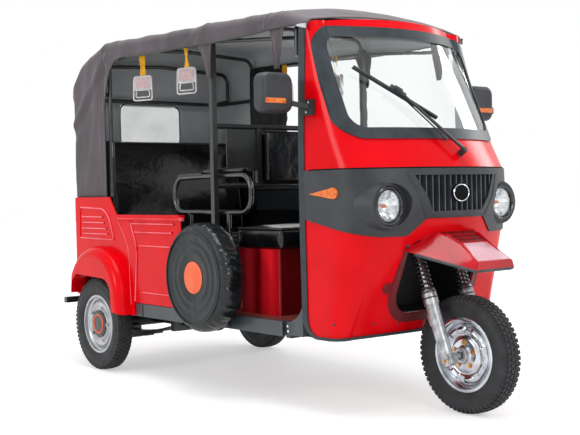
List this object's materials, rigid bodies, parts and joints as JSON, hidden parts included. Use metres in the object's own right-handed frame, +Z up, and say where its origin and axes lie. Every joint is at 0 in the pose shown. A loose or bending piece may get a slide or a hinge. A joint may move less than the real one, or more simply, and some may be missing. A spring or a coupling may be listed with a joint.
{
  "type": "auto rickshaw",
  "caption": "Passenger three-wheeler with a steered front wheel, pressed-steel cab and tub, open-sided fabric canopy, two facing benches and a spare wheel on the right side.",
  "frame": {"origin": "on the ground, centred under the whole vehicle", "axes": "+Z up, front faces -Y, +X is the vehicle's left"},
  "size_m": [1.47, 2.948, 1.8478],
  "materials": {
    "amber": "amber acrylic",
    "battery": "polypropylene cases",
    "black_plastic": "moulded black polypropylene",
    "black_steel": "semi-gloss black enamel on tube",
    "canopy_cloth": "coated canvas, grey-brown",
    "cast_alloy": "cast aluminium",
    "cast_iron": "black painted",
    "chrome_steel": "bright plated steel",
    "clear_grip": "clear acrylic",
    "clear_red": "clear red acrylic",
    "clear_vinyl": "clear vinyl sheet",
    "cover_vinyl": "black vinyl spare cover",
    "dark_mask": "grained charcoal ABS",
    "floor_paint": "red oxide floor",
    "glass": "clear laminated",
    "grey_steel": "blue-grey enamel on pressed steel",
    "lamp_glass": "fluted clear lens",
    "mirror": "mirror glass",
    "red_body": "gloss pressed steel, red enamel",
    "red_lens": "red acrylic",
    "reflector": "aluminised reflector",
    "rim_silver": "silver wheel enamel",
    "rubber_seal": "EPDM",
    "seat_vinyl": "glossy black vinyl",
    "tyre": "moulded rubber"
  },
  "bodies": {
    "root": {"arch_liner": "black_plastic", "armrest_pads": "seat_vinyl", "armrest_rails": "black_steel", "battery_pack": "battery", "bench_boxes": "black_steel", "cab_edge_trim": "rubber_seal", "cab_upper": "red_body", "canopy": "canopy_cloth", "canopy_frame": "black_steel", "chassis_frame": "black_steel", "dashboard": "black_plastic", "driver_seat": "seat_vinyl", "driver_seat_box": "red_body", "floor_pan": "floor_paint", "front_apron": "red_body", "front_bench": "seat_vinyl", "front_mask": "dark_mask", "front_visor": "clear_red", "grille": "black_plastic", "hand_grips": "clear_grip", "headlamp_bowls": "reflector", "headlamp_glasses": "lamp_glass", "leaf_springs": "black_steel", "mirror_arms": "black_plastic", "mirror_glasses": "mirror", "mirror_shells": "dark_mask", "partition_frame": "black_steel", "partition_pads": "seat_vinyl", "rear_axle": "cast_iron", "rear_backrest": "seat_vinyl", "rear_bench": "seat_vinyl", "rear_bumper": "black_steel", "rear_window": "clear_vinyl", "side_curtain": "seat_vinyl", "side_guard": "black_steel", "sills": "grey_steel", "spare_cover": "cover_vinyl", "tail_lamps": "red_lens", "tub_left": "red_body", "tub_rear": "red_body", "tub_right": "red_body", "turn_lamps": "amber", "wheel_houses": "black_plastic", "windscreen": "glass", "windscreen_seal": "rubber_seal", "wiper": "black_plastic"},
    "steering": {"fork_crown": "cast_iron", "fork_legs": "cast_alloy", "fork_springs": "black_steel", "handlebar": "black_steel", "bar_grips": "rubber_seal"},
    "front_wheel": {"front_tyre": "tyre", "front_rim": "chrome_steel"},
    "rear_wheel_right": {"rear_right_rim": "rim_silver", "rear_right_tyre": "tyre"},
    "rear_wheel_left": {"rear_left_rim": "rim_silver", "rear_left_tyre": "tyre"}
  },
  "joints": [
    {"name": "steer", "type": "hinge", "parent": "root", "child": "steering", "pos_m": [0, -1.175, 0.254], "axis": [0, 0.3584, 0.9336], "range_deg": [-38, 38]},
    {"name": "front_wheel_spin", "type": "hinge", "parent": "steering", "child": "front_wheel", "pos_m": [0, -1.22, 0.254], "axis": [1, 0, 0], "continuous": true},
    {"name": "rear_right_spin", "type": "hinge", "parent": "root", "child": "rear_wheel_right", "pos_m": [-0.556, 0.97, 0.254], "axis": [1, 0, 0], "continuous": true},
    {"name": "rear_left_spin", "type": "hinge", "parent": "root", "child": "rear_wheel_left", "pos_m": [0.556, 0.97, 0.254], "axis": [1, 0, 0], "continuous": true}
  ]
}
